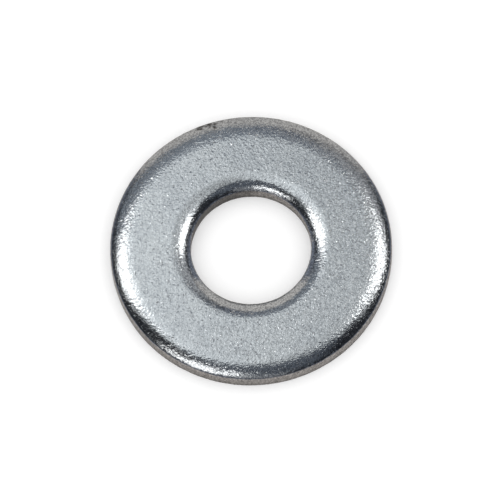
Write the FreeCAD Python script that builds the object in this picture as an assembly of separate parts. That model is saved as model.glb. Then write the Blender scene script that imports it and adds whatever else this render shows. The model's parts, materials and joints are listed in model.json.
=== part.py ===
import FreeCAD, Part
import math
import os
from collections import namedtuple

# Plain steel washer, 1/4 inch wide series (type A), zinc plated.
# It is punched from strip in one stroke of a compound die, so it is a single piece of steel:
# the outside and the hole are sheared together and their rolled edges face the same way.
# Millimetres, +Z up out of the rolled face. The origin is on the hole's axis, in the plane
# the flat underside rests on.

# Driving dimensions of the standard size
OUTER_DIA = 18.64     # 0.734 in
BORE_DIA = 7.92       # 0.312 in
THICKNESS = 1.65      # 0.065 in

# A rolled edge bends away from the face along a wide crown arc, then turns into the sheared
# wall around a tight corner arc. Width is measured in from the wall to where the face is flat.
Roll = namedtuple("Roll", "width crown_r corner_r")
OUTER_ROLL = Roll(width=1.65, crown_r=3.10, corner_r=0.25)
BORE_ROLL = Roll(width=1.36, crown_r=2.10, corner_r=0.10)

# Below the smooth sheared land the metal tears: the wall leans away from the cut by a little.
BREAKOUT_HEIGHT = 0.42
BREAKOUT_LEAN = 0.03

# Tumbling takes the burr off both lower edges.
EDGE_BREAK = 0.06


def point(radius, height):
    """A point of the profile, in the XZ plane."""
    return FreeCAD.Vector(radius, 0, height)


def roll_points(wall_r, inward, roll):
    """Points of one rolled edge, from the wall up to the flat face.

    inward is -1 when the metal lies on the axis side of the wall and +1 when it lies outside.
    """
    crown_x = wall_r + inward * roll.width
    crown_z = THICKNESS - roll.crown_r
    corner_x = wall_r + inward * roll.corner_r

    # The two arcs touch where the line through both centres leaves the smaller circle.
    reach = roll.crown_r - roll.corner_r
    lean = math.asin((roll.width - roll.corner_r) / reach)
    corner_z = crown_z + reach * math.cos(lean)

    def on_corner(angle):
        return point(corner_x - inward * roll.corner_r * math.sin(angle),
                     corner_z + roll.corner_r * math.cos(angle))

    def on_crown(angle):
        return point(crown_x - inward * roll.crown_r * math.sin(angle),
                     crown_z + roll.crown_r * math.cos(angle))

    wall_top = on_corner(math.pi / 2)
    corner_mid = on_corner((math.pi / 2 + lean) / 2)
    touch = on_crown(lean)
    crown_mid = on_crown(lean / 2)
    return wall_top, corner_mid, touch, crown_mid, on_crown(0)


def wall_points(wall_r, inward):
    """Points of one sheared wall, from the flat underside up to the foot of the land."""
    foot_r = wall_r + inward * BREAKOUT_LEAN
    return (point(foot_r + inward * EDGE_BREAK, 0),
            point(foot_r, EDGE_BREAK),
            point(wall_r, BREAKOUT_HEIGHT))


def side_edges(wall_r, inward, roll):
    """All edges from the underside to the flat top on one side of the metal."""
    under, above_break, land_foot = wall_points(wall_r, inward)
    wall_top, corner_mid, touch, crown_mid, flat_start = roll_points(wall_r, inward, roll)
    return [
        Part.makeLine(under, above_break),
        Part.makeLine(above_break, land_foot),
        Part.makeLine(land_foot, wall_top),
        Part.Arc(wall_top, corner_mid, touch).toShape(),
        Part.Arc(touch, crown_mid, flat_start).toShape(),
    ], under, flat_start


def make_washer():
    """The stamped profile turned once about the hole's axis."""
    outer, outer_under, outer_flat = side_edges(OUTER_DIA / 2, -1, OUTER_ROLL)
    inner, inner_under, inner_flat = side_edges(BORE_DIA / 2, +1, BORE_ROLL)
    top = Part.makeLine(outer_flat, inner_flat)
    bottom = Part.makeLine(inner_under, outer_under)
    edges = Part.__sortEdges__(outer + [top] + inner + [bottom])
    face = Part.Face(Part.Wire(edges))
    return face.revolve(FreeCAD.Vector(0, 0, 0), FreeCAD.Vector(0, 0, 1), 360)


def main():
    os.makedirs("parts", exist_ok=True)
    washer = make_washer()
    washer.exportStep("parts/washer.step")
    box = washer.optimalBoundingBox()
    print("washer  valid %s  volume %.2f mm3" % (washer.isValid(), washer.Volume))
    print("box  %.3f x %.3f x %.3f mm" % (box.XLength, box.YLength, box.ZLength))


main()
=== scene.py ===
import json
import math
from collections import namedtuple

import bmesh
import bpy
import numpy as np
from mathutils import Matrix, Vector


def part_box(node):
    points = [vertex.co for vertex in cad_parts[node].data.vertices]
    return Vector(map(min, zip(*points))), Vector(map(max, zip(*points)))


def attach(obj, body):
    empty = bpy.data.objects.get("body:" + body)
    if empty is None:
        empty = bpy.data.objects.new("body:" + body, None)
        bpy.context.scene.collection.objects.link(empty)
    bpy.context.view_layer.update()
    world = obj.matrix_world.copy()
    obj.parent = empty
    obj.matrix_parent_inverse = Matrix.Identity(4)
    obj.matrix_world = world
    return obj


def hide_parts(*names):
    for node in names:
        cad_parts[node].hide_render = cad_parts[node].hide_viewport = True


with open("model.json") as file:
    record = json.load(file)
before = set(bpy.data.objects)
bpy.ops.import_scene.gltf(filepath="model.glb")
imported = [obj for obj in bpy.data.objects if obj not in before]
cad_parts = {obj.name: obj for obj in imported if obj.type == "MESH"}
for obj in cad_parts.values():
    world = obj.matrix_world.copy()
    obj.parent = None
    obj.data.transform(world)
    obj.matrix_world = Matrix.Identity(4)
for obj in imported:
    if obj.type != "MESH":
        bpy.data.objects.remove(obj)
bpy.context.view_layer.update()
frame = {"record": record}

# A zinc-plated flat washer lying on a white table, under a small soft light rig.
# Everything is in metres. The washer's diameters and thickness come from the imported frame.
# The sizes below describe its rolled edges, the marks that punching and tumbling leave, and where
# painted shade darkens the bore's wall.

MM = 0.001
MICRON = 1e-6
RNG = np.random.default_rng(1407)

# ---------------------------------------------------------------- sizes

LOW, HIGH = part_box("washer")
THICKNESS = HIGH[2] - LOW[2]
OUTER_R = HIGH[0]
BORE_R = next(m for m in frame["record"]["mounts"] if m["name"] == "bore")["dims"]["r_mm"] * MM

Roll = namedtuple("Roll", "wall_r inward width crown_r corner_r")
OUTER_ROLL = Roll(OUTER_R, -1, 1.65 * MM, 3.10 * MM, 0.25 * MM)
BORE_ROLL = Roll(BORE_R, +1, 1.36 * MM, 2.10 * MM, 0.10 * MM)
BREAKOUT_HEIGHT = 0.42 * MM
BREAKOUT_LEAN = 0.03 * MM
EDGE_BREAK = 0.06 * MM

ROLL_OFFSET = 0.20 * MM        # how far the start of the outer roll is shifted towards -Y
ROLL_BLEND = 1.2 * MM          # how far into the flat face that shift dies away

CHIP_AZIMUTH = 105.0           # degrees, where the rim is nicked
CHIP_SPAN = 5.5                # half its length, in degrees
CHIP_TILT = 47                 # the surface tilt at its middle, in degrees
CHIP_TILT_SPAN = 22            # and how far it reaches from there
CHIP_DEPTH = 30 * MICRON

PAINTED_SHADE_FADE_IN = (66, 104)      # degrees around the bore over which the painted shade on its wall comes in
PAINTED_SHADE_FADE_OUT = (160, 176)    # and over which it goes

DENT_COUNT = 420
DENT_LENGTH = 0.26 * MM
DENT_WIDTH = 0.20 * MM
DENT_DEPTH = 4 * MICRON
SURFACE_DEPTH = 7 * MICRON     # the skin lies this far inside the nominal shape
WALL_DEPTH = 6 * MICRON        # and the sheared wall this much further

FACET_SIZE = 0.125 * MM        # the plating's flat patches
FACET_LEAN = 0.12              # slope of most of them
GRAIN_HEIGHT = 23 * MICRON
MARK_DEPTH = 6 * MICRON        # small dents and scratches drawn by the material

COLUMNS = 640                  # mesh columns around the axis
FACE_STEP = 0.10 * MM          # mesh row spacing on the rolled face
UNDER_STEP = 0.22 * MM         # and on the underside


# ---------------------------------------------------------------- the washer's mesh

def arc(centre, radius, start, end, step):
    """Points on an arc in the radius-height plane; angles are measured from straight up."""
    count = max(3, round(abs(end - start) * radius / step))
    angles = np.linspace(start, end, count + 1)
    return np.stack([centre[0] + radius * np.sin(angles),
                     centre[1] + radius * np.cos(angles)], axis=1)


def line(start, end, step):
    """Evenly spaced points from start to end."""
    start = np.array(start)
    end = np.array(end)
    count = max(1, round(np.linalg.norm(end - start) / step))
    share = np.linspace(0, 1, count + 1)[:, None]
    return start + (end - start) * share


def rolled_edge(roll):
    """A rolled edge from the flat face out to the top of the sheared wall."""
    outward = -roll.inward
    crown = (roll.wall_r + roll.inward * roll.width, THICKNESS - roll.crown_r)
    reach = roll.crown_r - roll.corner_r
    lean = math.asin((roll.width - roll.corner_r) / reach)
    corner = (roll.wall_r + roll.inward * roll.corner_r, crown[1] + reach * math.cos(lean))
    crown_arc = arc(crown, roll.crown_r, 0, outward * lean, FACE_STEP * 0.8)
    corner_arc = arc(corner, roll.corner_r, outward * lean, outward * math.pi / 2, FACE_STEP * 0.35)
    return np.concatenate([crown_arc, corner_arc[1:]])


def sheared_wall(roll, top):
    """The wall from the end of the rolled edge down to the flat underside."""
    foot_r = roll.wall_r + roll.inward * BREAKOUT_LEAN
    land = line(top, (roll.wall_r, BREAKOUT_HEIGHT), FACE_STEP * 0.8)
    breakout = line((roll.wall_r, BREAKOUT_HEIGHT), (foot_r, EDGE_BREAK), FACE_STEP * 0.8)
    under = line((foot_r, EDGE_BREAK), (foot_r + roll.inward * EDGE_BREAK, 0), FACE_STEP * 0.4)
    return np.concatenate([land[1:], breakout[1:], under[1:]])


def profile():
    """The closed outline of the metal in the radius-height plane.

    It runs outwards over the rolled face, down the outside, back under and up the bore.
    """
    outer_roll = rolled_edge(OUTER_ROLL)
    outer_wall = sheared_wall(OUTER_ROLL, outer_roll[-1])
    bore_roll = rolled_edge(BORE_ROLL)
    bore_wall = sheared_wall(BORE_ROLL, bore_roll[-1])
    face = line(bore_roll[0], outer_roll[0], FACE_STEP)[1:-1]
    underside = line(outer_wall[-1], bore_wall[-1], UNDER_STEP)[1:-1]
    return np.concatenate([face, outer_roll, outer_wall, underside,
                           bore_wall[::-1], bore_roll[::-1]])


def outline_normals(outline):
    """Unit normals of the closed outline, pointing out of the metal."""
    along = np.roll(outline, -1, axis=0) - np.roll(outline, 1, axis=0)
    normals = np.stack([-along[:, 1], along[:, 0]], axis=1)
    return normals / np.linalg.norm(normals, axis=1)[:, None]


def smoothstep(low, high, value):
    share = np.clip((value - low) / (high - low), 0, 1)
    return share * share * (3 - 2 * share)


class SmoothNoise:
    """Smooth noise in space, from about -1 to 1: waves of one length in random directions."""

    def __init__(self, wavelength, waves=24):
        directions = RNG.normal(size=(waves, 3))
        directions /= np.linalg.norm(directions, axis=1)[:, None]
        lengths = wavelength * RNG.uniform(0.7, 1.5, waves)
        self.vectors = directions * (2 * math.pi / lengths)[:, None]
        self.phases = RNG.uniform(0, 2 * math.pi, waves)

    def __call__(self, places):
        total = np.zeros(len(places))
        for vector, phase in zip(self.vectors, self.phases):
            total += np.sin(places @ vector + phase)
        return total * math.sqrt(2 / len(self.phases)) / 2


def dents(places, count, length, width, depth):
    """How deep each place lies in one of many small oval dents spread over the top."""
    sunk = np.zeros(len(places))
    radii = np.sqrt(RNG.uniform(BORE_R ** 2, OUTER_R ** 2, count))
    angles = RNG.uniform(0, 2 * math.pi, count)
    turns = RNG.uniform(0, math.pi, count)
    sizes = RNG.uniform(0.5, 1.4, count)
    depths = depth * RNG.uniform(0.2, 1.0, count)
    for radius, angle, turn, size, deep in zip(radii, angles, turns, sizes, depths):
        east = places[:, 0] - radius * math.cos(angle)
        north = places[:, 1] - radius * math.sin(angle)
        near = np.hypot(east, north) < 2.5 * length * size
        east, north = east[near], north[near]
        along = (east * math.cos(turn) + north * math.sin(turn)) / (length * size)
        across = (north * math.cos(turn) - east * math.sin(turn)) / (width * size)
        sunk[near] = np.maximum(sunk[near], deep * np.exp(-along ** 2 - across ** 2))
    return sunk


def outer_half(places):
    """True for places nearer the outside edge than the bore."""
    return np.hypot(places[:, 0], places[:, 1]) > (OUTER_R + BORE_R) / 2


def chip(places, tilt):
    """From 0 to 1: a ragged nick in the outer rolled edge."""
    azimuth = np.degrees(np.arctan2(places[:, 1], places[:, 0]))
    around = (azimuth - CHIP_AZIMUTH) / CHIP_SPAN
    over = (tilt - CHIP_TILT) / CHIP_TILT_SPAN
    ragged = SmoothNoise(0.5 * MM)(places) * 0.35 + SmoothNoise(0.25 * MM)(places) * 0.5
    return smoothstep(1.0, 0.6, np.hypot(around, over) + ragged) * outer_half(places)


def off_centre(places):
    """Shifts where the outer rolled edge begins; the edge itself stays round and centred."""
    radius = np.hypot(places[:, 0], places[:, 1])
    begin = OUTER_R - OUTER_ROLL.width
    share = smoothstep(OUTER_R, begin, radius) * smoothstep(begin - ROLL_BLEND, begin, radius)
    outwards = places[:, :2] / radius[:, None]
    moved = places.copy()
    moved[:, :2] -= outwards * (outwards[:, 1] * share * ROLL_OFFSET)[:, None]
    return moved


def turned(values):
    """Turns each (radius, height) row about the axis, into COLUMNS places."""
    angles = np.linspace(0, 2 * math.pi, COLUMNS, endpoint=False)
    spin = np.stack([np.cos(angles), np.sin(angles)], axis=1)
    flat = values[:, None, 0:1] * spin[None, :, :]
    height = np.repeat(values[:, None, 1:2], COLUMNS, axis=1)
    return np.concatenate([flat, height], axis=2).reshape(-1, 3)


def surface_zones(places, tilt):
    """How much of each kind of surface each place has, from 0 to 1. Tilt is in degrees."""
    # The borders between the zones wander a little around the edge.
    wander = SmoothNoise(2.2 * MM)(places) * 3 + SmoothNoise(0.7 * MM)(places) * 3
    outside = outer_half(places)
    shear_start = 37 + 7 * outside
    sheared = smoothstep(shear_start, shear_start + 8, tilt + wander) * smoothstep(175, 150, tilt)
    polished = smoothstep(6 + 4 * outside, 16 + 8 * outside, tilt) * (1 - sheared)
    torn = chip(places, tilt)
    # Low on the walls: the fracture band, which wall_tone colours darker; partly the torn metal's
    # own duller colour, partly painted contact shade where the wall meets the table.
    above_breakout = places[:, 2] / MM - BREAKOUT_HEIGHT / MM
    azimuth = np.degrees(np.arctan2(places[:, 1], places[:, 0])) + wander * 2
    # Painted shade: the bore's wall is coloured darker from about 66 to 176 degrees round.
    painted_bore_shade = smoothstep(*PAINTED_SHADE_FADE_IN, azimuth) * smoothstep(*PAINTED_SHADE_FADE_OUT[::-1], azimuth)
    return {"sheared": sheared, "polished": polished, "torn": torn,
            "fracture_and_foot_shade": smoothstep(0.06, -0.06, above_breakout + wander * 0.03),
            "painted_bore_shade": painted_bore_shade * ~outside, "rim": polished * outside}


def sunk_depth(places, tilt, zones):
    """How far each place lies inside the nominal shape; never less than nothing."""
    long_waves = SmoothNoise(1.6 * MM)(places) * 2.6 * MICRON
    short_waves = SmoothNoise(0.6 * MM)(places) * 1.1 * MICRON
    sink = SURFACE_DEPTH - (long_waves + short_waves)
    top = tilt < 60
    sink[top] += dents(places[top], DENT_COUNT, DENT_LENGTH, DENT_WIDTH, DENT_DEPTH)
    sink += zones["torn"] * (CHIP_DEPTH + 20 * MICRON * SmoothNoise(0.3 * MM)(places))
    streaks = SmoothNoise(0.32 * MM)(places * (1, 1, 0.35)) * 3.5 * MICRON
    streaks += SmoothNoise(0.2 * MM)(places * (1, 1, 0.5)) * 2.5 * MICRON
    sink += zones["sheared"] * (WALL_DEPTH + streaks)
    sink[tilt > 170] = 0
    return np.maximum(sink, 0)


def washer_mesh():
    outline = profile()
    rows = len(outline)
    places = off_centre(turned(outline))
    outward = turned(outline_normals(outline))
    tilt = np.degrees(np.arccos(np.clip(outward[:, 2], -1, 1)))
    zones = surface_zones(places, tilt)
    places = places - outward * sunk_depth(places, tilt, zones)[:, None]

    index = np.arange(rows * COLUMNS).reshape(rows, COLUMNS)
    below = np.roll(index, -1, axis=0)
    quads = np.stack([index, below, np.roll(below, -1, axis=1), np.roll(index, -1, axis=1)], axis=2)
    mesh = bpy.data.meshes.new("washer_body")
    mesh.from_pydata(places.tolist(), [], quads.reshape(-1, 4).tolist())
    mesh.polygons.foreach_set("use_smooth", np.ones(rows * COLUMNS, dtype=bool))
    for name, values in zones.items():
        layer = mesh.attributes.new(name, "FLOAT", "POINT")
        layer.data.foreach_set("value", values.astype(np.float32))
    mesh.update()
    mesh.validate()
    return mesh


# ---------------------------------------------------------------- materials

class Nodes:
    """A small helper that adds linked shader nodes to one tree."""

    def __init__(self, tree):
        self.tree = tree

    def add(self, kind, output=0, inputs=(), **settings):
        """Adds a node; inputs maps socket names or numbers to values or to other outputs."""
        node = self.tree.nodes.new(kind)
        for name, value in settings.items():
            setattr(node, name, value)
        for name, value in dict(inputs).items():
            if isinstance(value, bpy.types.NodeSocket):
                self.tree.links.new(value, node.inputs[name])
            else:
                node.inputs[name].default_value = value
        return node.outputs[output]

    def maths(self, operation, first, second=0.0, third=0.0):
        return self.add("ShaderNodeMath", operation=operation,
                        inputs={0: first, 1: second, 2: third})

    def vector(self, operation, first, second=(0, 0, 0), **others):
        return self.add("ShaderNodeVectorMath", operation=operation,
                        inputs={0: first, 1: second, **others})

    def dot(self, first, second):
        return self.add("ShaderNodeVectorMath", output="Value", operation="DOT_PRODUCT",
                        inputs={0: first, 1: second})

    def noise(self, vector, scale, detail=2.0, roughness=0.5, distortion=0.0):
        return self.add("ShaderNodeTexNoise", inputs={
            "Vector": vector, "Scale": scale, "Detail": detail,
            "Roughness": roughness, "Distortion": distortion})

    def spread(self, value, from_low, from_high, to_low, to_high):
        """Maps a value from one range to another, held at the ends."""
        return self.add("ShaderNodeMapRange", inputs={
            "Value": value, "From Min": from_low, "From Max": from_high,
            "To Min": to_low, "To Max": to_high})

    def steps(self, value, stops):
        """Follows straight lines through the (value, result) stops, held at both ends."""
        total = stops[0][1]
        for (low, start), (high, end) in zip(stops, stops[1:]):
            total = self.maths("ADD", self.spread(value, low, high, 0, end - start), total)
        return total

    def mix_colour(self, share, first, second):
        """Mixes two colours, each given as (red, green, blue) or as another node's output."""
        first, second = (colour if isinstance(colour, bpy.types.NodeSocket) else (*colour, 1)
                         for colour in (first, second))
        return self.add("ShaderNodeMix", output=2, data_type="RGBA",
                        inputs={0: share, 6: first, 7: second})

    def split(self, colour):
        return self.add("ShaderNodeSeparateColor", inputs={"Color": colour}).node.outputs

    def set_glow(self, strength):
        """Drives the brightness of this tree's one emission shader."""
        glow = next(node for node in self.tree.nodes if node.type == "EMISSION")
        self.tree.links.new(strength, glow.inputs["Strength"])

    def attribute(self, name):
        return self.add("ShaderNodeAttribute", output="Fac", attribute_name=name)


def zinc_tone(nodes, place, zones, fine, harder):
    """Colour of the plated skin: a pale clouded grey with darker and brighter grains."""
    cloud = nodes.noise(place, 420, detail=3.0)
    specks = nodes.add("ShaderNodeTexVoronoi", output="Color",
                       inputs={"Vector": place, "Scale": 9500})
    speck = nodes.split(specks)[0]
    tone = nodes.mix_colour(nodes.spread(cloud, 0.35, 0.65, 0, 1),
                            (0.64, 0.665, 0.68), (0.70, 0.722, 0.73))
    dark = nodes.maths("MULTIPLY", harder, nodes.spread(fine, 0.3, 0.52, 0.38, 0.0))
    tone = nodes.mix_colour(dark, tone, (0.28, 0.29, 0.31))
    tone = nodes.mix_colour(nodes.spread(fine, 0.52, 0.70, 0.0, 0.65), tone, (0.90, 0.91, 0.92))
    tone = nodes.mix_colour(nodes.spread(speck, 0.02, 0.01, 0.0, 0.4), tone, (0.12, 0.12, 0.13))
    mottle = nodes.maths("MULTIPLY", zones["polished"], nodes.spread(fine, 0.36, 0.56, 0.48, 0.0))
    tone = nodes.mix_colour(mottle, tone, (0.16, 0.16, 0.17))
    return nodes.mix_colour(nodes.maths("MULTIPLY", zones["rim"], 0.10), tone, (0.05, 0.05, 0.05))


def wall_tone(nodes, place, zones):
    """Colour of the sheared walls: a warm patchy grey, darker low down in the torn fracture band
    (partly its own duller metal, partly painted contact shade), and with painted shade over part of
    the bore's wall.
    """
    upright = nodes.vector("MULTIPLY", place, (1, 1, 0.5))
    patchy = nodes.noise(upright, 7000, detail=2.0, roughness=0.6)
    patchy = nodes.spread(patchy, 0.34, 0.66, 0, 1)
    smooth = nodes.mix_colour(patchy, (0.40, 0.385, 0.377), (0.86, 0.828, 0.814))
    # Darker low on the wall: partly the duller torn metal, partly painted contact shade at the
    # wall's foot.
    broken_and_shaded = nodes.mix_colour(patchy, (0.24, 0.231, 0.226), (0.68, 0.653, 0.64))
    tone = nodes.mix_colour(zones["fracture_and_foot_shade"], smooth, broken_and_shaded)
    # Painted shade over part of the bore's wall: its colour is mixed towards near-black.
    return nodes.mix_colour(nodes.maths("MULTIPLY", zones["painted_bore_shade"], 0.65), tone,
                            (0.05, 0.05, 0.052))


def skin_roughness(nodes, place, zones):
    """Shiny on the face, with small cells that differ a little; duller where sheared or torn."""
    cells = nodes.add("ShaderNodeTexVoronoi", output="Color",
                      inputs={"Vector": place, "Scale": 9500})
    rough = nodes.spread(nodes.split(cells)[1], 0.0, 1.0, 0.10, 0.18)
    rough = nodes.maths("ADD", rough, nodes.maths("MULTIPLY", zones["sheared"], 0.16))
    return nodes.maths("ADD", rough, nodes.maths("MULTIPLY", zones["torn"], 0.25))


def skin_height(nodes, place, zones, harder):
    """Relief in metres: grain and facets, calmer where polished, less the small marks."""
    grain = nodes.noise(place, 5600, detail=2.0, roughness=0.6)
    calm = nodes.maths("SUBTRACT", 1.0, nodes.maths("MULTIPLY", zones["polished"], 0.68))
    height = nodes.maths("MULTIPLY", grain, GRAIN_HEIGHT)
    height = nodes.maths("ADD", height, facets(nodes, place))
    height = nodes.maths("MULTIPLY", height, calm)
    height = nodes.maths("MULTIPLY", height, harder)
    marks = nodes.maths("ADD", small_dents(nodes, place), scratches(nodes, place))
    return nodes.maths("SUBTRACT", height, nodes.maths("MULTIPLY", marks, MARK_DEPTH))


def zinc_material():
    material = bpy.data.materials.new("zinc_plated_steel")
    material.use_nodes = True
    nodes = Nodes(material.node_tree)
    links = material.node_tree.links
    shader = material.node_tree.nodes["Principled BSDF"]
    place = nodes.add("ShaderNodeTexCoord", output="Object")
    names = ("sheared", "polished", "torn", "fracture_and_foot_shade", "painted_bore_shade", "rim")
    zones = {name: nodes.attribute(name) for name in names}

    # The grain gets stronger from the far left to the near right.
    fine = nodes.noise(place, 7600, detail=3.0, roughness=0.7)
    across = nodes.dot(place, (0.9, -0.43, 0))
    harder = nodes.spread(across, -6 * MM, 8 * MM, 0.95, 1.5)

    colour = nodes.mix_colour(zones["sheared"], zinc_tone(nodes, place, zones, fine, harder),
                              wall_tone(nodes, place, zones))
    colour = nodes.mix_colour(zones["torn"], colour, (0.13, 0.125, 0.12))
    links.new(colour, shader.inputs["Base Color"])
    links.new(skin_roughness(nodes, place, zones), shader.inputs["Roughness"])
    bump = nodes.add("ShaderNodeBump", inputs={
        "Strength": 1.0, "Distance": 1.0, "Height": skin_height(nodes, place, zones, harder)})
    links.new(bump, shader.inputs["Normal"])
    shader.inputs["Metallic"].default_value = 1.0
    return material


def facets(nodes, place):
    """Height in metres of the tumbled skin: small patches, each tilted its own way."""
    cells = nodes.add("ShaderNodeTexVoronoi",
                      inputs={"Vector": place, "Scale": 1 / FACET_SIZE}).node
    inside = nodes.vector("SUBTRACT", place, cells.outputs["Position"])
    lean = nodes.vector("SUBTRACT", cells.outputs["Color"], (0.5, 0.5, 0.5))
    chance = nodes.split(cells.outputs["Color"])[2]
    steep = nodes.spread(chance, 0.85, 1.0, FACET_LEAN, 5 * FACET_LEAN)
    lean = nodes.vector("SCALE", lean, Scale=steep)
    fade = nodes.spread(cells.outputs["Distance"], 0.3, 0.7, 1, 0.2)
    return nodes.maths("MULTIPLY", nodes.dot(inside, lean), fade)


def small_dents(nodes, place):
    """Height 1 at the middle of small round dents, one in some of the cells of a random pattern."""
    cells = nodes.add("ShaderNodeTexVoronoi", inputs={"Vector": place, "Scale": 2200}).node
    chosen = nodes.spread(nodes.split(cells.outputs["Color"])[0], 0.45, 0.55, 0, 1)
    depth = nodes.spread(cells.outputs["Distance"], 0.05, 0.22, 1, 0)
    return nodes.maths("MULTIPLY", chosen, depth)


def scratches(nodes, place):
    """Height 1 along short fine scratches in two directions."""
    total = 0.0
    for turn in (0.5, 2.2):
        stretched = nodes.add("ShaderNodeMapping", inputs={
            "Vector": place, "Rotation": (0, 0, turn), "Scale": (700, 5200, 700)})
        cells = nodes.add("ShaderNodeTexVoronoi", inputs={"Vector": stretched, "Scale": 1.0}).node
        chosen = nodes.spread(nodes.split(cells.outputs["Color"])[0], 0.86, 0.9, 0, 1)
        depth = nodes.spread(cells.outputs["Distance"], 0.05, 0.3, 1, 0)
        total = nodes.maths("ADD", nodes.maths("MULTIPLY", chosen, depth), total)
    return total


def plain_material(name, colour, roughness, fill=0.0):
    material = bpy.data.materials.new(name)
    material.use_nodes = True
    shader = material.node_tree.nodes["Principled BSDF"]
    shader.inputs["Base Color"].default_value = (*colour, 1)
    shader.inputs["Roughness"].default_value = roughness
    shader.inputs["Specular IOR Level"].default_value = 0.0
    shader.inputs["Emission Color"].default_value = (1, 1, 1, 1)
    shader.inputs["Emission Strength"].default_value = fill
    return material


# ---------------------------------------------------------------- stage and light

def rectangle(left, right, near, far):
    return ((left, near), (right, near), (right, far), (left, far))


def octagon(left, right, near, far):
    """An eight-sided softbox: a rectangle with its corners cut off."""
    cut = 0.29 * min(right - left, far - near)
    return ((left + cut, near), (right - cut, near), (right, near + cut), (right, far - cut),
            (right - cut, far), (left + cut, far), (left, far - cut), (left, near + cut))


def stage_piece(name, mesh, material):
    """Puts a mesh in the scene as part of the stage, not of the washer."""
    mesh.materials.append(material)
    piece = bpy.data.objects.new(name, mesh)
    bpy.context.collection.objects.link(piece)
    return piece


def level_shape(name, height, corners, material):
    """A flat level piece of the stage with these (x, y) corners."""
    mesh = bpy.data.meshes.new(name)
    mesh.from_pydata([(x, y, height) for x, y in corners], [], [range(len(corners))])
    return stage_piece(name, mesh, material)


def seen_only_by_reflections(piece):
    piece.visible_camera = False
    piece.visible_diffuse = False
    piece.visible_shadow = False
    piece.visible_transmission = False
    piece.visible_volume_scatter = False


def glow_material(name, colour):
    material = bpy.data.materials.new(name)
    material.use_nodes = True
    tree = material.node_tree
    tree.nodes.clear()
    glow = tree.nodes.new("ShaderNodeEmission")
    glow.inputs["Color"].default_value = (*colour, 1)
    output = tree.nodes.new("ShaderNodeOutputMaterial")
    tree.links.new(glow.outputs[0], output.inputs["Surface"])
    return material


def card(name, height, corners, colour):
    """A glowing shape that only reflections see; height and corners in millimetres."""
    corners = [(x * MM, y * MM) for x, y in corners]
    piece = level_shape(name, height * MM, corners, glow_material(name, colour))
    seen_only_by_reflections(piece)
    return piece


def dome(name, radius, colour):
    """A dim room that only reflections see, ten times brighter below about 20 degrees."""
    mesh = bpy.data.meshes.new(name)
    shape = bmesh.new()
    bmesh.ops.create_uvsphere(shape, u_segments=64, v_segments=64, radius=radius)
    shape.to_mesh(mesh)
    shape.free()
    material = glow_material(name, colour)
    nodes = Nodes(material.node_tree)
    place = nodes.add("ShaderNodeTexCoord", output="Object")
    height = nodes.add("ShaderNodeSeparateXYZ", output="Z", inputs={"Vector": place})
    nodes.set_glow(nodes.spread(height, 0.34 * radius, 0.45 * radius, 10.0, 1.0))
    piece = stage_piece(name, mesh, material)
    seen_only_by_reflections(piece)
    return piece


LAMP = (2.5, 2.5, 2.5)
TABLE_SIZE = 8.0
TABLE_COLOUR = (0.83, 0.83, 0.83)
MIRRORED_TABLE_COLOUR = (0.41, 0.395, 0.38)

# Across the top panel: millimetres to the right, and the brightness there. It is brightest
# on the left and dimmest a little right of the middle.
PANEL_FADE = ((-16, 1.00), (3, 0.75), (12, 0.40), (32, 0.70))


def fade_across(panel):
    """Gives the top panel its uneven brightness from left to right."""
    nodes = Nodes(panel.data.materials[0].node_tree)
    place = nodes.add("ShaderNodeTexCoord", output="Object")
    across = nodes.add("ShaderNodeSeparateXYZ", output="X", inputs={"Vector": place})
    nodes.set_glow(nodes.steps(nodes.maths("DIVIDE", across, MM), PANEL_FADE))


def light_rig():
    """What the metal mirrors: three lamps, a pale panel with two wings, and the room around."""
    card("left_softbox", 80, octagon(-95, -35, 5, 48), LAMP)
    card("right_softbox", 80, octagon(40, 98, -2, 46), LAMP)
    card("front_softbox", 80, ((-80, -36), (-10, -64), (-10, -72), (-60, -72)), LAMP)
    fade_across(card("top_panel", 80.5, rectangle(-42, 36, -20, 51), (0.91, 0.952, 0.98)))
    card("left_wing", 81, rectangle(-72, -42, -11, 5), (0.36, 0.38, 0.39))
    card("right_wing", 81, rectangle(36, 74, -15, 8), (0.60, 0.63, 0.65))
    card("far_right", 84, rectangle(36, 98, 48, 108), (0.38, 0.39, 0.41))
    card("far_side_left", 90, rectangle(-115, 2, 56, 130), (0.20, 0.225, 0.26))
    card("far_side_right", 90, rectangle(2, 28, 56, 130), (0.155, 0.175, 0.215))
    card("camera_side", 90, rectangle(-40, 56, -78, -26), (0.10, 0.115, 0.14))
    card("camera_side_low", 90, rectangle(-110, 30, -135, -78), (0.28, 0.29, 0.31))
    wall = card("back_wall", 0, rectangle(-140, 170, 0, 138), (0.58, 0.557, 0.538))
    wall.rotation_euler.x = math.pi / 2
    wall.location.y = 200 * MM
    dome("room", 0.35, (0.02, 0.022, 0.027))


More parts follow.
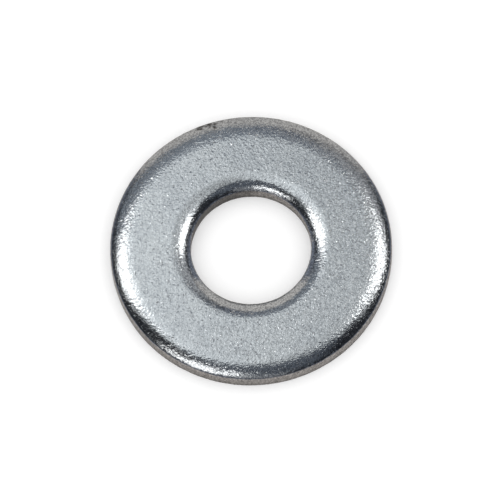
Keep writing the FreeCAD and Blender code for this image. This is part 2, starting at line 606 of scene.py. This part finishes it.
def table():
    """A white table for the eye, and a darker one just above it that only the metal mirrors."""
    half = TABLE_SIZE / 2
    corners = rectangle(-half, half, -half, half)
    floor = level_shape("table", 0.0, corners,
                        plain_material("table", TABLE_COLOUR, 0.9, fill=0.2))
    floor.visible_glossy = False
    mirrored = level_shape("table_reflected", 1 * MICRON, corners,
                           plain_material("table_reflected", MIRRORED_TABLE_COLOUR, 0.9))
    seen_only_by_reflections(mirrored)


def world_light():
    """Soft white light from all round, brighter from the near side; the metal doesn't mirror it."""
    world = bpy.data.worlds.new("studio")
    world.use_nodes = True
    background = world.node_tree.nodes["Background"]
    background.inputs["Color"].default_value = (1, 1, 1, 1)
    nodes = Nodes(world.node_tree)
    way = nodes.add("ShaderNodeTexCoord", output="Generated")
    north = nodes.add("ShaderNodeSeparateXYZ", output="Y", inputs={"Vector": way})
    strength = nodes.spread(north, -1, 1, 1.5, 0.82)
    world.node_tree.links.new(strength, background.inputs["Strength"])
    world.cycles_visibility.glossy = False
    bpy.context.scene.world = world


# ---------------------------------------------------------------- camera

ELEVATION = math.radians(69.2)
ROLL = math.radians(3.6)
DISTANCE = 0.42
FRAME_WIDTH = 33.03 * MM       # how much of the table the picture spans
AIM = Vector((-0.076 * MM, 0, 0.67 * MM))


def make_camera():
    back = Vector((0, -math.cos(ELEVATION), math.sin(ELEVATION)))
    right = Vector((1, 0, 0))
    up = back.cross(right)
    tilt = Matrix((right, up, back)).transposed() @ Matrix.Rotation(-ROLL, 3, "Z")
    data = bpy.data.cameras.new("camera")
    data.sensor_width = 36
    data.lens = data.sensor_width * DISTANCE / FRAME_WIDTH
    data.clip_start = 0.01
    data.clip_end = 20
    camera = bpy.data.objects.new("camera", data)
    camera.matrix_world = Matrix.Translation(AIM + back * DISTANCE) @ tilt.to_4x4()
    bpy.context.collection.objects.link(camera)
    bpy.context.scene.camera = camera


# ---------------------------------------------------------------- build

def build():
    washer = bpy.data.objects.new("washer_body", washer_mesh())
    bpy.context.collection.objects.link(washer)
    washer.data.materials.append(zinc_material())
    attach(washer, "root")
    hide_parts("washer")

    table()
    light_rig()
    world_light()
    make_camera()
    bpy.context.scene.view_settings.view_transform = "Standard"
    print("washer_body triangles", 2 * len(washer.data.polygons))


build()
